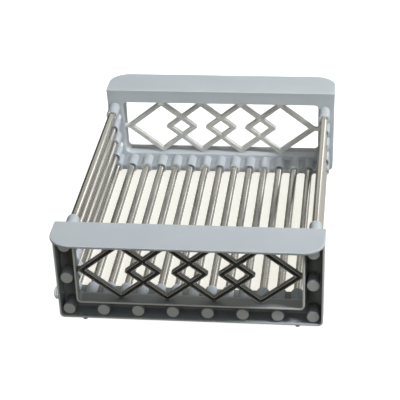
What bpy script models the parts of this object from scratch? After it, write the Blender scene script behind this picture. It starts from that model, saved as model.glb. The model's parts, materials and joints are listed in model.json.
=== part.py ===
"""Expandable over-sink rack: two moulded end frames joined by telescoping steel rods.

X runs across the rack, Y along the rods, and Z up from the plane the feet stand on. The near end frame
is at -Y, and the far one slides away along +Y. Both frames are built in their own axes, where Y starts
at the outer edge of the top plate and grows towards the middle of the rack. The rods form a tray: a row
of them makes the floor, and a column of them each side. Along the tray, every other place has its outer
tube fixed in the near frame and its thinner rod in the far one, and the places between have it the other
way round.
"""

import math

import bmesh
import bpy
from mathutils import Matrix

# How far the rack pulls out. Its pushed-together length is worked out below, from this and the rods.
SLIDE_TRAVEL = 0.150

# The tray of rods.
FLOOR_ROD_COUNT = 15
SIDE_ROD_COUNT = 4
FLOOR_ROD_PITCH = 0.0160
SIDE_ROD_PITCH = 0.0168

# Telescoping rods.
TUBE_DIAMETER = 0.0076
TUBE_WALL = 0.0004
ROD_DIAMETER = 0.0058
ROD_WALL = 0.0004
TIP_CHAMFER = 0.0002
ROD_ENGAGEMENT = 0.085
ROD_SIDES = 12

# Clearances.
SEAT_GAP = 0.0003
END_GAP = 0.0010
ROD_TIP_GAP = 0.0043
OVERRUN = 0.0030

# Top plate of an end frame, which hooks over the edge of the sink.
PLATE_DEPTH = 0.0418
PLATE_THICKNESS = 0.0024
PLATE_CORNER_RADIUS = 0.0210
PLATE_INNER_RADIUS = 0.0012
PLATE_SIDE_MARGIN = 0.0105
PLATE_PROUD = 0.0004
PLATE_ABOVE_TOP_ROD = 0.0157
PLATE_OVERHANG = 0.0224

# Box section of an end frame under its plate.
WALL = 0.0018
FACE_WALL = 0.0020
BODY_SIDE_MARGIN_TOP = 0.0100
BODY_SIDE_MARGIN_FOOT = 0.0090
BODY_BELOW_ROD = 0.0088
BODY_CORNER_RADIUS = 0.0042

# Window in an end frame.
WINDOW_SIDE_INSET = 0.0070
WINDOW_ABOVE_FLOOR_ROD = 0.0072
WINDOW_ABOVE_TOP_ROD = 0.0013
WINDOW_FOOT_RADIUS = 0.0050
WINDOW_TOP_RADIUS = 0.0038

# Lattice in the window: a row of diamonds that overlap their neighbours.
DIAMOND_COUNT = 4
DIAMOND_PITCH = 0.0428
DIAMOND_HALF_WIDTH = 0.0354
LATTICE_DROP = 0.0005
STRIP_WIDTH = 0.0044
STRIP_DEPTH = 0.0056
STRIP_FLANGE = 0.0010
STRIP_WEB = 0.0016
LATTICE_SETBACK = 0.0048
LATTICE_BITE = 0.0006
LATTICE_TAB_HEIGHT = 0.0036
LATTICE_TAB_WIDTH = 0.0060

# Sockets for the rods.
SOCKET_DIAMETER = 0.0118
SOCKET_SIDES = 12
SOCKET_RIDGE_THICKNESS = 0.0068
SOCKET_RIDGE_SETBACK = 0.0005
FLOOR_SOCKET_REACH = 0.0201
SIDE_SOCKET_REACH = 0.0304
SIDE_SOCKET_START = 0.0109
SIDE_NECK_DIAMETER = 0.0084
SIDE_SEAT_WALL = 0.0015
RECESS_DIAMETER = 0.0102
RECESS_DEPTH = 0.0090
PEG_DIAMETER = 0.0114
PEG_SETBACK = 0.0015
PEG_END_WALL = 0.0024

# Feet and the side knob, each a head on a stem that plugs into the frame.
FOOT_DIAMETER = 0.0046
FOOT_HEIGHT = 0.0026
FOOT_ROUNDING = 0.0007
FOOT_STEM_DIAMETER = 0.0022
FOOT_SIDE_INSET = 0.0140
FOOT_FROM_LIP = 0.0034
KNOB_ABOVE_FLOOR_ROD = 0.0120
KNOB_DIAMETER = 0.0120
KNOB_THICKNESS = 0.0050
KNOB_ROUNDING = 0.0018
KNOB_STEM_DIAMETER = 0.0032
KNOB_STEM_TIP = 0.0008
KNOB_SIDES = 16
FOOT_SIDES = 12

# Surface finishes: linear colour, roughness, metallic.
PLASTIC_FINISH = ((0.470, 0.520, 0.560, 1.0), 0.45, 0.0)
TUBE_FINISH = ((0.560, 0.550, 0.530, 1.0), 0.22, 1.0)
ROD_FINISH = ((0.620, 0.615, 0.600, 1.0), 0.18, 1.0)
FOOT_FINISH = ((0.300, 0.320, 0.330, 1.0), 0.60, 0.0)
KNOB_FINISH = ((0.720, 0.740, 0.740, 1.0), 0.15, 0.0)

# Places worked out from the sizes above.
FLOOR_ROD_HEIGHT = FOOT_HEIGHT + BODY_BELOW_ROD
TRAY_HALF_WIDTH = FLOOR_ROD_PITCH * (FLOOR_ROD_COUNT - 1) / 2
TOP_ROD_HEIGHT = FLOOR_ROD_HEIGHT + SIDE_ROD_PITCH * SIDE_ROD_COUNT
PLATE_TOP = TOP_ROD_HEIGHT + PLATE_ABOVE_TOP_ROD
PLATE_UNDERSIDE = PLATE_TOP - PLATE_THICKNESS
PLATE_HALF_WIDTH = TRAY_HALF_WIDTH + PLATE_SIDE_MARGIN
LIP = PLATE_OVERHANG
FACE = PLATE_DEPTH
CHANNEL_FLOOR = FACE - FACE_WALL
PEG_END = LIP + PEG_SETBACK
WINDOW_HALF_WIDTH = TRAY_HALF_WIDTH - WINDOW_SIDE_INSET
WINDOW_FOOT = FLOOR_ROD_HEIGHT + WINDOW_ABOVE_FLOOR_ROD
WINDOW_TOP = TOP_ROD_HEIGHT + WINDOW_ABOVE_TOP_ROD
SIDE_TUBE_START = FACE + SIDE_SOCKET_START + SIDE_SEAT_WALL + SEAT_GAP
SIDE_TUBE_MOUTH = FACE + SIDE_SOCKET_REACH - RECESS_DEPTH + END_GAP
SIDE_TUBE_LENGTH = ROD_TIP_GAP + ROD_ENGAGEMENT + SLIDE_TRAVEL
COLLAPSED_LENGTH = SIDE_TUBE_START + SIDE_TUBE_LENGTH + SIDE_TUBE_MOUTH


def clear_scene():
    """Empties the scene."""
    for existing in list(bpy.data.objects):
        bpy.data.objects.remove(existing, do_unlink=True)


def make_finish(name, finish):
    """Makes a material from a colour, a roughness and a metallic value."""
    colour, roughness, metallic = finish
    material = bpy.data.materials.new(name)
    material.use_nodes = True
    shader = material.node_tree.nodes["Principled BSDF"]
    shader.inputs["Base Color"].default_value = colour
    shader.inputs["Roughness"].default_value = roughness
    shader.inputs["Metallic"].default_value = metallic
    material.diffuse_color = colour
    return material


def object_from_bmesh(name, shape):
    """Turns a bmesh into an object in the scene, with its faces pointing out."""
    bmesh.ops.recalc_face_normals(shape, faces=shape.faces)
    mesh = bpy.data.meshes.new(name)
    shape.to_mesh(mesh)
    shape.free()
    made = bpy.data.objects.new(name, mesh)
    bpy.context.scene.collection.objects.link(made)
    return made


def arc(centre_x, centre_z, radius, start_degrees, end_degrees, steps):
    """Points of an arc, both ends included."""
    points = []
    for step in range(steps + 1):
        angle = math.radians(start_degrees + (end_degrees - start_degrees) * step / steps)
        points.append((centre_x + radius * math.cos(angle), centre_z + radius * math.sin(angle)))
    return points


def prism_along_y(name, outline, start, end):
    """A solid with an outline in X and Z, from one Y to another."""
    shape = bmesh.new()
    corners = [shape.verts.new((x, start, z)) for x, z in outline]
    base = shape.faces.new(corners)
    grown = bmesh.ops.extrude_face_region(shape, geom=[base])
    moved = [item for item in grown["geom"] if isinstance(item, bmesh.types.BMVert)]
    bmesh.ops.translate(shape, verts=moved, vec=(0, end - start, 0))
    return object_from_bmesh(name, shape)


def prism_along_z(name, outline, start, end):
    """A solid with an outline in X and Y, from one Z to another."""
    shape = bmesh.new()
    corners = [shape.verts.new((x, y, start)) for x, y in outline]
    base = shape.faces.new(corners)
    grown = bmesh.ops.extrude_face_region(shape, geom=[base])
    moved = [item for item in grown["geom"] if isinstance(item, bmesh.types.BMVert)]
    bmesh.ops.translate(shape, verts=moved, vec=(0, 0, end - start))
    return object_from_bmesh(name, shape)


def add_turned(shape, profile, sides, place):
    """Adds a solid turned about Z from (radius, height) pairs to a bmesh, and moves it to its place.

    The profile runs from the bottom of the solid to its top, on the outer side. A radius of zero is a
    point on the axis.
    """
    rings = []
    for radius, height in profile:
        if radius == 0:
            rings.append([shape.verts.new((0, 0, height))])
            continue
        ring = []
        for side in range(sides):
            angle = 2 * math.pi * (side + 1 / 2) / sides
            ring.append(shape.verts.new((radius * math.cos(angle), radius * math.sin(angle), height)))
        rings.append(ring)
    for lower, upper in zip(rings, rings[1:]):
        for side in range(sides):
            following = (side + 1) % sides
            if len(lower) == 1:
                shape.faces.new((lower[0], upper[side], upper[following]))
            elif len(upper) == 1:
                shape.faces.new((lower[side], lower[following], upper[0]))
            else:
                shape.faces.new((lower[side], lower[following], upper[following], upper[side]))
    if len(rings[0]) > 1:
        shape.faces.new(list(reversed(rings[0])))
    if len(rings[-1]) > 1:
        shape.faces.new(rings[-1])
    made = [vertex for ring in rings for vertex in ring]
    bmesh.ops.transform(shape, matrix=place, verts=made)


def along_y(x, start, z):
    """The matrix that lays a solid turned about Z along +Y, from a start."""
    return Matrix.Translation((x, start, z)) @ Matrix.Rotation(-math.pi / 2, 4, "X")


def add_cylinder_along_y(shape, x, z, diameter, start, end, sides):
    """Adds a closed cylinder along Y to a bmesh."""
    add_turned(shape, [(diameter / 2, 0), (diameter / 2, end - start)], sides, along_y(x, start, z))


def combine(target, tool, operation):
    """Joins a tool to a target, or cuts it out of it, and removes the tool."""
    modifier = target.modifiers.new(operation.lower(), "BOOLEAN")
    modifier.operation = operation
    modifier.object = tool
    modifier.solver = "EXACT"
    graph = bpy.context.evaluated_depsgraph_get()
    result = bpy.data.meshes.new_from_object(target.evaluated_get(graph))
    target.modifiers.clear()
    old = target.data
    target.data = result
    bpy.data.meshes.remove(old)
    bpy.data.objects.remove(tool, do_unlink=True)


def rod_places():
    """Every place of the tray as (name, x, z, odd place, on a side)."""
    places = []
    for index in range(FLOOR_ROD_COUNT):
        x = -TRAY_HALF_WIDTH + FLOOR_ROD_PITCH * index
        places.append((f"floor_{index + 1:02d}", x, FLOOR_ROD_HEIGHT, index % 2 == 1, False))
    for side_name, side in (("left", -1), ("right", 1)):
        for index in range(SIDE_ROD_COUNT):
            z = TOP_ROD_HEIGHT - SIDE_ROD_PITCH * index
            odd = (SIDE_ROD_COUNT - index) % 2 == 1
            places.append((f"{side_name}_{index + 1}", side * TRAY_HALF_WIDTH, z, odd, True))
    return places


def socket_rim(on_side):
    """How far in from the plate's outer edge a socket ends."""
    return FACE + (SIDE_SOCKET_REACH if on_side else FLOOR_SOCKET_REACH)


def tube_seat(on_side):
    """How far in from the plate's outer edge the seat of a tube begins."""
    return FACE + (SIDE_SOCKET_START + SIDE_SEAT_WALL if on_side else SEAT_GAP)


def body_outline(inset):
    """Outline of the box section in X and Z, drawn in by an inset all round but at the top."""
    foot_z = FLOOR_ROD_HEIGHT - BODY_BELOW_ROD + inset
    top_z = PLATE_UNDERSIDE + PLATE_THICKNESS / 2
    half_foot = TRAY_HALF_WIDTH + BODY_SIDE_MARGIN_FOOT - inset
    half_top = TRAY_HALF_WIDTH + BODY_SIDE_MARGIN_TOP - inset
    radius = BODY_CORNER_RADIUS - inset
    points = [(-half_top, top_z)]
    points += arc(-half_foot + radius, foot_z + radius, radius, 180, 270, 5)
    points += arc(half_foot - radius, foot_z + radius, radius, 270, 360, 5)
    points.append((half_top, top_z))
    return points


def window_outline(outset):
    """Outline of the window in X and Z, with its rounded corners, grown by an outset all round."""
    half = WINDOW_HALF_WIDTH + outset
    foot = WINDOW_FOOT - outset
    top = WINDOW_TOP + outset
    foot_radius = WINDOW_FOOT_RADIUS + outset
    top_radius = WINDOW_TOP_RADIUS + outset
    points = arc(-half + foot_radius, foot + foot_radius, foot_radius, 180, 270, 4)
    points += arc(half - foot_radius, foot + foot_radius, foot_radius, 270, 360, 4)
    points += arc(half - top_radius, top - top_radius, top_radius, 0, 90, 4)
    points += arc(-half + top_radius, top - top_radius, top_radius, 90, 180, 4)
    return points


def plate_outline():
    """Outline of the top plate in X and Y: large round corners outside, small ones inside."""
    inner = PLATE_DEPTH + PLATE_PROUD
    half = PLATE_HALF_WIDTH
    large = PLATE_CORNER_RADIUS
    small = PLATE_INNER_RADIUS
    points = arc(-half + large, large, large, 180, 270, 8)
    points += arc(half - large, large, large, 270, 360, 8)
    points += arc(half - small, inner - small, small, 0, 90, 3)
    points += arc(-half + small, inner - small, small, 90, 180, 3)
    return points


def diamond_ring(name, centre_x, centre_z, half_width, half_height, strip, start, end):
    """One diamond of the lattice: a closed band of a given width round a diamond's centre line."""
    slope = math.atan2(half_height, half_width)
    reach_x = strip / 2 / math.sin(slope)
    reach_z = strip / 2 / math.cos(slope)
    shape = bmesh.new()
    loops = []
    for y in (start, end):
        for sign in (1, -1):
            wide = half_width + sign * reach_x
            tall = half_height + sign * reach_z
            corners = ((wide, 0), (0, tall), (-wide, 0), (0, -tall))
            loops.append([shape.verts.new((centre_x + x, y, centre_z + z)) for x, z in corners])
    outer_start, inner_start, outer_end, inner_end = loops
    for corner in range(4):
        following = (corner + 1) % 4
        for first, second in (
            (outer_start, inner_start),
            (inner_start, inner_end),
            (inner_end, outer_end),
            (outer_end, outer_start),
        ):
            shape.faces.new((first[corner], first[following], second[following], second[corner]))
    return object_from_bmesh(name, shape)


def lattice_centre():
    """Height of the middle of the lattice."""
    return (WINDOW_TOP + WINDOW_FOOT) / 2 - LATTICE_DROP


def diamond_half_height():
    """Half height of a diamond along its centre line, so that its foot bites into the sill."""
    reach = lattice_centre() - WINDOW_FOOT + LATTICE_BITE
    slope = math.atan2(reach, DIAMOND_HALF_WIDTH)
    return reach - STRIP_WIDTH / 2 / math.cos(slope)


def make_diamond_row(name, strip, start, end):
    """A row of overlapping diamonds with strips of a given width, joined into one solid."""
    half_span = DIAMOND_PITCH * (DIAMOND_COUNT - 1) / 2
    row = None
    for index in range(DIAMOND_COUNT):
        centre_x = -half_span + DIAMOND_PITCH * index
        ring = diamond_ring(
            name, centre_x, lattice_centre(), DIAMOND_HALF_WIDTH, diamond_half_height(), strip, start, end
        )
        if row is None:
            row = ring
        else:
            combine(row, ring, "UNION")
    return row


def box_outline(low_x, high_x, low_z, high_z):
    """Outline of a box in X and Z."""
    return [(low_x, low_z), (high_x, low_z), (high_x, high_z), (low_x, high_z)]


def make_lattice():
    """The lattice: strips of U section, open to the outer side, with tabs into the window's edge."""
    inner = FACE - LATTICE_SETBACK
    outer = inner - STRIP_DEPTH
    lattice = make_diamond_row("lattice", STRIP_WIDTH, outer, inner)
    groove = make_diamond_row("groove", STRIP_WIDTH - 2 * STRIP_FLANGE, outer - OVERRUN, inner - STRIP_WEB)
    combine(lattice, groove, "DIFFERENCE")
    half_span = DIAMOND_PITCH * (DIAMOND_COUNT - 1) / 2
    half_tab = LATTICE_TAB_HEIGHT / 2
    tab_start = outer + STRIP_FLANGE
    for side in (-1, 1):
        near_x = side * (half_span + DIAMOND_HALF_WIDTH)
        far_x = side * (WINDOW_HALF_WIDTH + LATTICE_BITE)
        outline = box_outline(
            min(near_x, far_x), max(near_x, far_x), lattice_centre() - half_tab, lattice_centre() + half_tab
        )
        tab_end = inner - SEAT_GAP
        combine(lattice, prism_along_y("side_tab", outline, tab_start, tab_end), "UNION")
    tab_foot = lattice_centre() + diamond_half_height()
    for index in range(DIAMOND_COUNT):
        centre_x = -half_span + DIAMOND_PITCH * index
        outline = box_outline(
            centre_x - LATTICE_TAB_WIDTH / 2,
            centre_x + LATTICE_TAB_WIDTH / 2,
            tab_foot,
            WINDOW_TOP + FACE_WALL,
        )
        combine(lattice, prism_along_y("top_tab", outline, tab_start, FACE - FACE_WALL / 2), "UNION")
    return lattice


def trough_outline(outset):
    """Outline of the space inside the window's wall, which runs straight up to the plate."""
    half = WINDOW_HALF_WIDTH + outset
    foot = WINDOW_FOOT - outset
    radius = WINDOW_FOOT_RADIUS + outset
    top = PLATE_UNDERSIDE + PLATE_THICKNESS / 2
    points = [(-half, top)]
    points += arc(-half + radius, foot + radius, radius, 180, 270, 4)
    points += arc(half - radius, foot + radius, radius, 270, 360, 4)
    points.append((half, top))
    return points


def make_box_section(name):
    """The box section under the plate: outer wall, inner face, and a wall beside and below the window."""
    body = prism_along_y(name, body_outline(0), LIP, FACE)
    channel = prism_along_y("channel", body_outline(WALL), LIP - OVERRUN, CHANNEL_FLOOR)
    combine(body, channel, "DIFFERENCE")
    window_wall = prism_along_y("window_wall", trough_outline(WALL), LIP, FACE - FACE_WALL / 2)
    combine(body, window_wall, "UNION")
    trough = prism_along_y("trough", trough_outline(0), LIP - OVERRUN, CHANNEL_FLOOR)
    combine(body, trough, "DIFFERENCE")
    window = prism_along_y("window", window_outline(0), LIP - OVERRUN, FACE + OVERRUN)
    combine(body, window, "DIFFERENCE")
    plate = prism_along_z("plate", plate_outline(), PLATE_UNDERSIDE, PLATE_TOP)
    combine(body, plate, "UNION")
    return body


def make_ridge(name, low_x, high_x, low_z, high_z, reach):
    """A flat ridge on the inner face that joins the sockets of one row."""
    outline = box_outline(low_x, high_x, low_z, high_z)
    return prism_along_y(name, outline, FACE - FACE_WALL / 2, FACE + reach - SOCKET_RIDGE_SETBACK)


def make_sockets(frame, holds_rod):
    """Adds the sockets on the inner face and, where a thin rod is held, the pegs in the channel."""
    half_ridge = SOCKET_RIDGE_THICKNESS / 2
    floor_ridge = make_ridge(
        "floor_ridge",
        -TRAY_HALF_WIDTH,
        TRAY_HALF_WIDTH,
        FLOOR_ROD_HEIGHT - half_ridge,
        FLOOR_ROD_HEIGHT + half_ridge,
        FLOOR_SOCKET_REACH,
    )
    combine(frame, floor_ridge, "UNION")
    for side in (-1, 1):
        centre = side * TRAY_HALF_WIDTH
        side_ridge = make_ridge(
            "side_ridge",
            centre - half_ridge,
            centre + half_ridge,
            FLOOR_ROD_HEIGHT + SIDE_ROD_PITCH / 2,
            TOP_ROD_HEIGHT,
            SIDE_SOCKET_REACH,
        )
        combine(frame, side_ridge, "UNION")
        corner_ridge = make_ridge(
            "corner_ridge",
            centre - half_ridge + SEAT_GAP,
            centre + half_ridge - SEAT_GAP,
            FLOOR_ROD_HEIGHT,
            FLOOR_ROD_HEIGHT + SIDE_ROD_PITCH * 2 / 3,
            FLOOR_SOCKET_REACH - SEAT_GAP,
        )
        combine(frame, corner_ridge, "UNION")
    sockets = bmesh.new()
    pegs = bmesh.new()
    necks = bmesh.new()
    root = FACE - FACE_WALL / 2
    for _, x, z, odd, on_side in rod_places():
        start = FACE + SIDE_SOCKET_START if on_side else root
        add_cylinder_along_y(sockets, x, z, SOCKET_DIAMETER, start, socket_rim(on_side), SOCKET_SIDES)
        if odd == holds_rod:
            add_cylinder_along_y(pegs, x, z, PEG_DIAMETER, PEG_END, FACE - FACE_WALL / 4, SOCKET_SIDES)
        if odd == holds_rod and on_side:
            neck_end = start + SIDE_SEAT_WALL
            add_cylinder_along_y(necks, x, z, SIDE_NECK_DIAMETER, root, neck_end, SOCKET_SIDES)
    combine(frame, object_from_bmesh("sockets", sockets), "UNION")
    combine(frame, object_from_bmesh("necks", necks), "UNION")
    combine(frame, object_from_bmesh("pegs", pegs), "UNION")


def cut_sockets(frame, holds_rod):
    """Cuts the seats: a plain bore for a tube, or a wide recess and a thinner bore for a rod."""
    seats = bmesh.new()
    for _, x, z, odd, on_side in rod_places():
        rim = socket_rim(on_side)
        if odd == holds_rod:
            floor = PEG_END + PEG_END_WALL
            step = rim - RECESS_DEPTH
            bore = ROD_DIAMETER / 2 + SEAT_GAP
            profile = [
                (bore, 0),
                (bore, step - floor),
                (RECESS_DIAMETER / 2, step - floor),
                (RECESS_DIAMETER / 2, rim + OVERRUN - floor),
            ]
        else:
            floor = tube_seat(on_side)
            bore = TUBE_DIAMETER / 2 + SEAT_GAP
            profile = [(bore, 0), (bore, rim + OVERRUN - floor)]
        add_turned(seats, profile, ROD_SIDES, along_y(x, floor, z))
    combine(frame, object_from_bmesh("seats", seats), "DIFFERENCE")


def knob_height():
    """Height of a side knob above the plane the feet stand on."""
    return FLOOR_ROD_HEIGHT + KNOB_ABOVE_FLOOR_ROD


def knob_depth():
    """Place of a side knob along the frame's own Y, in the middle of the side wall."""
    return (LIP + FACE) / 2


def side_wall_x(height):
    """Half width of the box section's outer wall at a height."""
    span = PLATE_UNDERSIDE + PLATE_THICKNESS / 2 - (FLOOR_ROD_HEIGHT - BODY_BELOW_ROD + BODY_CORNER_RADIUS)
    share = (height - (FLOOR_ROD_HEIGHT - BODY_BELOW_ROD + BODY_CORNER_RADIUS)) / span
    margin = BODY_SIDE_MARGIN_FOOT + (BODY_SIDE_MARGIN_TOP - BODY_SIDE_MARGIN_FOOT) * share
    return TRAY_HALF_WIDTH + margin


def middle_x():
    """Place of the frames' middle, so that the whole rack's box, which the knob widens on one side, is centred."""
    knob_reach = side_wall_x(knob_height()) + KNOB_THICKNESS
    return (knob_reach - PLATE_HALF_WIDTH) / 2


def foot_x(side):
    """Place of a foot across the rack."""
    return side * (TRAY_HALF_WIDTH - FOOT_SIDE_INSET)


def cut_plug_holes(frame, has_knob):
    """Cuts the holes that the feet plug into, and the side knob's hole in the end that has one."""
    holes = bmesh.new()
    wall_foot = FLOOR_ROD_HEIGHT - BODY_BELOW_ROD
    hole = FOOT_STEM_DIAMETER / 2 + SEAT_GAP
    for side in (-1, 1):
        place = Matrix.Translation((foot_x(side), LIP + FOOT_FROM_LIP, wall_foot - WALL))
        add_turned(holes, [(hole, 0), (hole, 3 * WALL)], ROD_SIDES, place)
    if has_knob:
        hole = KNOB_STEM_DIAMETER / 2 + SEAT_GAP
        wall_x = WALL / 2 - side_wall_x(knob_height())
        turn = Matrix.Rotation(math.pi / 2, 4, "Y")
        place = Matrix.Translation((wall_x - 3 * WALL / 2, knob_depth(), knob_height())) @ turn
        add_turned(holes, [(hole, 0), (hole, 3 * WALL)], ROD_SIDES, place)
    combine(frame, object_from_bmesh("plug_holes", holes), "DIFFERENCE")


def make_end_frame(name, holds_rod, has_knob, finish):
    """One end frame: plate, box section, lattice, sockets and pegs, in its own axes."""
    frame = make_box_section(name)
    combine(frame, make_lattice(), "UNION")
    make_sockets(frame, holds_rod)
    cut_sockets(frame, holds_rod)
    cut_plug_holes(frame, has_knob)
    frame.data.materials.clear()
    frame.data.materials.append(finish)
    return frame


def shade_round(made):
    """Shades a turned piece smooth, with its sharp edges kept."""
    made.data.shade_smooth()
    made.data.set_sharp_from_angle(angle=math.radians(35))


def make_hollow_rod(name, diameter, wall, length, finish):
    """A thin-walled rod along +Y from its fixed end, with the edge of its free tip taken off."""
    shape = bmesh.new()
    outer = diameter / 2
    bore = outer - wall
    profile = [
        (bore, 0),
        (outer, 0),
        (outer, length - TIP_CHAMFER),
        (outer - TIP_CHAMFER, length),
        (bore, length),
    ]
    rings = []
    for radius, height in profile:
        ring = []
        for side in range(ROD_SIDES):
            angle = 2 * math.pi * (side + 1 / 2) / ROD_SIDES
            ring.append(shape.verts.new((radius * math.cos(angle), height, radius * math.sin(angle))))
        rings.append(ring)
    for index, ring in enumerate(rings):
        next_ring = rings[(index + 1) % len(rings)]
        for side in range(ROD_SIDES):
            following = (side + 1) % ROD_SIDES
            shape.faces.new((ring[side], ring[following], next_ring[following], next_ring[side]))
    rod = object_from_bmesh(name, shape)
    rod.data.materials.append(finish)
    shade_round(rod)
    return rod


def make_foot(name, finish):
    """A foot: a low round pad under the wall, with a stem up into it. Z starts at the floor."""
    shape = bmesh.new()
    radius = FOOT_DIAMETER / 2
    stem = FOOT_STEM_DIAMETER / 2
    top = FOOT_HEIGHT - SEAT_GAP
    profile = [
        (radius - FOOT_ROUNDING, 0),
        (radius, FOOT_ROUNDING),
        (radius, top),
        (stem, top),
        (stem, FOOT_HEIGHT + WALL),
    ]
    add_turned(shape, profile, FOOT_SIDES, Matrix.Identity(4))
    foot = object_from_bmesh(name, shape)
    foot.data.materials.append(finish)
    shade_round(foot)
    return foot


def make_knob(name, finish):
    """A side knob: a round head and a stem, turned about Z. Z starts inside the wall and grows outwards."""
    shape = bmesh.new()
    radius = KNOB_DIAMETER / 2
    stem = KNOB_STEM_DIAMETER / 2
    seat = WALL + SEAT_GAP
    top = WALL + KNOB_THICKNESS
    profile = [
        (stem, -KNOB_STEM_TIP),
        (stem, seat),
        (radius - KNOB_ROUNDING / 2, seat),
        (radius, seat + KNOB_ROUNDING / 2),
        (radius, top - KNOB_ROUNDING),
        (radius - KNOB_ROUNDING / 3, top - KNOB_ROUNDING / 3),
        (radius - KNOB_ROUNDING, top),
    ]
    add_turned(shape, profile, KNOB_SIDES, Matrix.Identity(4))
    knob = object_from_bmesh(name, shape)
    knob.data.materials.append(finish)
    shade_round(knob)
    return knob


def make_end_axes(name, parent, side):
    """The empty that carries one end's pieces, at the outer edge of its plate and turned to face the middle."""
    axes = bpy.data.objects.new(name, None)
    bpy.context.scene.collection.objects.link(axes)
    axes.parent = parent
    axes.location = (middle_x(), side * COLLAPSED_LENGTH / 2, 0)
    axes.rotation_euler = (0, 0, math.pi if side > 0 else 0)
    return axes


def put(piece, parent, location, rotation=(0, 0, 0)):
    """Puts a piece on its parent."""
    piece.parent = parent
    piece.location = location
    piece.rotation_euler = rotation


def build_end(prefix, parent, side, finishes, holds_rod, has_knob):
    """Builds one end: its frame, the tubes and rods fixed in it, its feet and any side knob."""
    plastic, tube_finish, rod_finish, foot_finish, knob_finish = finishes
    axes = make_end_axes(f"{prefix}_axes", parent, side)
    frame = make_end_frame(f"{prefix}_end_frame", holds_rod, has_knob, plastic)
    put(frame, axes, (0, 0, 0))
    rod_start = PEG_END + PEG_END_WALL + SEAT_GAP
    for place_name, x, z, odd, on_side in rod_places():
        tube_end = COLLAPSED_LENGTH - (socket_rim(on_side) - RECESS_DEPTH + END_GAP)
        if odd == holds_rod:
            mouth = COLLAPSED_LENGTH - tube_end
            length = mouth + SLIDE_TRAVEL + ROD_ENGAGEMENT - rod_start
            piece = make_hollow_rod(f"rod_{place_name}", ROD_DIAMETER, ROD_WALL, length, rod_finish)
            start = rod_start
        else:
            start = tube_seat(on_side) + SEAT_GAP
            length = tube_end - start
            piece = make_hollow_rod(f"tube_{place_name}", TUBE_DIAMETER, TUBE_WALL, length, tube_finish)
        put(piece, axes, (-side * x, start, z))
    for foot_side, side_name in ((-1, "left"), (1, "right")):
        foot = make_foot(f"{prefix}_foot_{side_name}", foot_finish)
        put(foot, axes, (-side * foot_x(foot_side), LIP + FOOT_FROM_LIP, 0))
    if has_knob:
        knob = make_knob(f"{prefix}_side_knob", knob_finish)
        wall = WALL - side_wall_x(knob_height())
        put(knob, axes, (wall, knob_depth(), knob_height()), (0, -math.pi / 2, 0))


def main():
    """Builds the rack pushed together, with the far end under the empty that slides."""
    clear_scene()
    finishes = (
        make_finish("grey_plastic", PLASTIC_FINISH),
        make_finish("tube_steel", TUBE_FINISH),
        make_finish("rod_steel", ROD_FINISH),
        make_finish("foot_rubber", FOOT_FINISH),
        make_finish("clear_knob", KNOB_FINISH),
    )
    slide = bpy.data.objects.new("far_end_slide", None)
    bpy.context.scene.collection.objects.link(slide)
    build_end("near", None, -1, finishes, holds_rod=False, has_knob=True)
    build_end("far", slide, 1, finishes, holds_rod=True, has_knob=False)
    bpy.context.view_layer.update()


main()
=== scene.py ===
"""Looks of the expandable over-sink rack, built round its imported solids.

X runs across the rack, Y along the rods and Z up from the plane that the feet stand on. Each end is drawn in
its own axes, where Y starts at the outer edge of the top plate and grows towards the middle of the rack, and
is then set in its place: the near end at -Y, and the far one turned half a turn at +Y. Lengths are in metres.
"""

from __future__ import annotations

import json
import logging
import math
from collections.abc import Mapping, Sequence
from dataclasses import dataclass, field, replace
from enum import Enum

import bmesh
import bpy
import numpy as np
import numpy.typing as npt
from mathutils import Euler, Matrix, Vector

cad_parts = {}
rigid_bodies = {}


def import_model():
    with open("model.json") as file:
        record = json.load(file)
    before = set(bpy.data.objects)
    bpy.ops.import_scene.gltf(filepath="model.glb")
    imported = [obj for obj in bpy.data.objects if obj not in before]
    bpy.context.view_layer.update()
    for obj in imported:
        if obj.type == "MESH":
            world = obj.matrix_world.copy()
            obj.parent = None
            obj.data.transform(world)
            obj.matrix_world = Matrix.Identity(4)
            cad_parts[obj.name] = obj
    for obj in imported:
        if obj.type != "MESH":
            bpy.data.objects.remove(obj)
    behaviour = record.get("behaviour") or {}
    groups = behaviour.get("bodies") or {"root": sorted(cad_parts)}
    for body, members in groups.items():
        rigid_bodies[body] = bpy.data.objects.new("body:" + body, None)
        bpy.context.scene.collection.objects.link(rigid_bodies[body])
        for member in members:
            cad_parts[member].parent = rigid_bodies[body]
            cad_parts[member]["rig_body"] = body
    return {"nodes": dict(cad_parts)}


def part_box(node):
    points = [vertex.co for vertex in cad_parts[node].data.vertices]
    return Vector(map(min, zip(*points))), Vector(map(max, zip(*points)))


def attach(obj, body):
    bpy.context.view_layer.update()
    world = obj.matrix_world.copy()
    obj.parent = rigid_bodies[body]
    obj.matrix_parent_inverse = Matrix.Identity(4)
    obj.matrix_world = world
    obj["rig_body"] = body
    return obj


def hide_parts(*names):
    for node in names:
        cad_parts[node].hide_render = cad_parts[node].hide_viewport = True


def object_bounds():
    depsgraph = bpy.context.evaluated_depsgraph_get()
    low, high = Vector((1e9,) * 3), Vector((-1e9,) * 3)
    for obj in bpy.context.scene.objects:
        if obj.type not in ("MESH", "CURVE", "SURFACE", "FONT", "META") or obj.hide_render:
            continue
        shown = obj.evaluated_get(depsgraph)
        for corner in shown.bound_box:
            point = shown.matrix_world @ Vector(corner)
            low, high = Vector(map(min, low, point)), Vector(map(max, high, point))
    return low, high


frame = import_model()
CAD_LOW, CAD_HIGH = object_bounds()
FRAME_LOW, FRAME_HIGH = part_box("far_end_frame")
MIDDLE_X = (FRAME_LOW.x + FRAME_HIGH.x) / 2

log = logging.getLogger("rack")

Array = npt.NDArray[np.float64]
Index = npt.NDArray[np.int64]
Triple = tuple[float, float, float]
Weights = tuple[float, ...]
Corners = Sequence[tuple[float, float]]

MERGE = 1e-6
GUARD = 0.00005
SHARP_ANGLE = 40.0
BALL_STEPS = 3
INSIDE_SHARE = 0.9
# Name of the point attribute that carries painted shade and painted highlights.
SHADE = "shade"


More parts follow.
